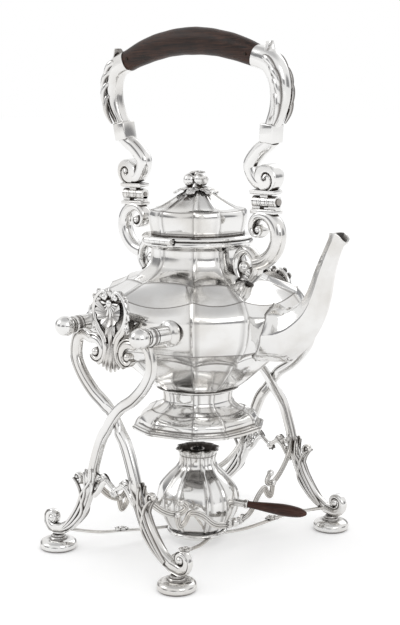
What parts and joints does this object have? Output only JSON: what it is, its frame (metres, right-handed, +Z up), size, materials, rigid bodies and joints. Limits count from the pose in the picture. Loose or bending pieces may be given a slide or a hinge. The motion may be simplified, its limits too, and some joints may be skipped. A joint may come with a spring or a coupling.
{
  "type": "spirit kettle on stand",
  "caption": "Panelled silver kettle with a hinged lid and a swing handle, hung on pins in a crossed-leg stand over a spirit burner.",
  "frame": {"origin": "on the table under the middle of the whole object", "axes": "+X towards the spout, +Y along the stand from the near end frame to the far one, +Z up"},
  "size_m": [0.229, 0.2106, 0.3856],
  "materials": {
    "silver": "polished silver",
    "dark_silver": "tarnished silver",
    "wood": "dark polished wood",
    "cotton": "twisted cotton"
  },
  "bodies": {
    "stand": {"leg_front_near": "silver", "leg_front_far": "silver", "leg_back_near": "silver", "leg_back_far": "silver", "cartouche_near": "silver", "cartouche_far": "silver", "leg_bridge_near": "silver", "leg_bridge_far": "silver", "foot_pad_front_near": "silver", "foot_pad_front_far": "silver", "foot_pad_back_near": "silver", "foot_pad_back_far": "silver", "stretcher_front_near": "silver", "stretcher_front_far": "silver", "stretcher_back_near": "silver", "stretcher_back_far": "silver", "swag_front": "silver", "swag_back": "silver", "burner_seat": "silver"},
    "kettle": {"kettle_body": "silver", "kettle_foot": "silver", "waist_ring": "silver", "neck_rim": "silver", "spout": "silver", "lid_hinge_barrels": "silver", "lid_hinge_pin": "silver", "bracket_front": "silver", "bracket_back": "silver", "bail_hinge_pins": "dark_silver", "lug_front_near": "silver", "lug_front_far": "silver", "lug_back_near": "silver", "lug_back_far": "silver"},
    "lid": {"lid_dome": "silver", "lid_flange": "silver", "finial_leaves": "silver", "finial_fruits": "silver", "finial_nut": "silver"},
    "bail": {"bail_arm_front": "silver", "bail_arm_back": "silver", "bail_grip": "wood", "grip_rivets": "silver"},
    "burner": {"burner_body": "silver", "wick_holder": "dark_silver", "wick": "cotton", "burner_ferrule": "silver", "burner_stick": "wood"},
    "carrying_pin_front_near": {"pin_front_near": "silver"},
    "carrying_pin_front_far": {"pin_front_far": "silver"},
    "carrying_pin_back_near": {"pin_back_near": "silver"},
    "carrying_pin_back_far": {"pin_back_far": "silver"}
  },
  "joints": [
    {"name": "kettle_tilt", "type": "hinge", "parent": "stand", "child": "kettle", "pos_m": [0.01469, 0, 0.174], "axis": [0, 1, 0], "range_deg": [0, 35]},
    {"name": "lid_hinge", "type": "hinge", "parent": "kettle", "child": "lid", "pos_m": [-0.02331, -0.0405, 0.2335], "axis": [1, 0, 0], "range_deg": [0, 95]},
    {"name": "bail_hinge", "type": "hinge", "parent": "kettle", "child": "bail", "pos_m": [-0.02331, 0, 0.2628], "axis": [1, 0, 0], "range_deg": [-84, 75]},
    {"name": "burner_lift", "type": "slide", "parent": "stand", "child": "burner", "axis": [0, 0, 1], "range_m": [0, 0.014]},
    {"name": "pin_pull_front_near", "type": "slide", "parent": "stand", "child": "carrying_pin_front_near", "axis": [0, -1, 0], "range_m": [0, 0.02]},
    {"name": "pin_pull_front_far", "type": "slide", "parent": "stand", "child": "carrying_pin_front_far", "axis": [0, 1, 0], "range_m": [0, 0.02]},
    {"name": "pin_pull_back_near", "type": "slide", "parent": "stand", "child": "carrying_pin_back_near", "axis": [0, -1, 0], "range_m": [0, 0.02]},
    {"name": "pin_pull_back_far", "type": "slide", "parent": "stand", "child": "carrying_pin_back_far", "axis": [0, 1, 0], "range_m": [0, 0.02]}
  ]
}
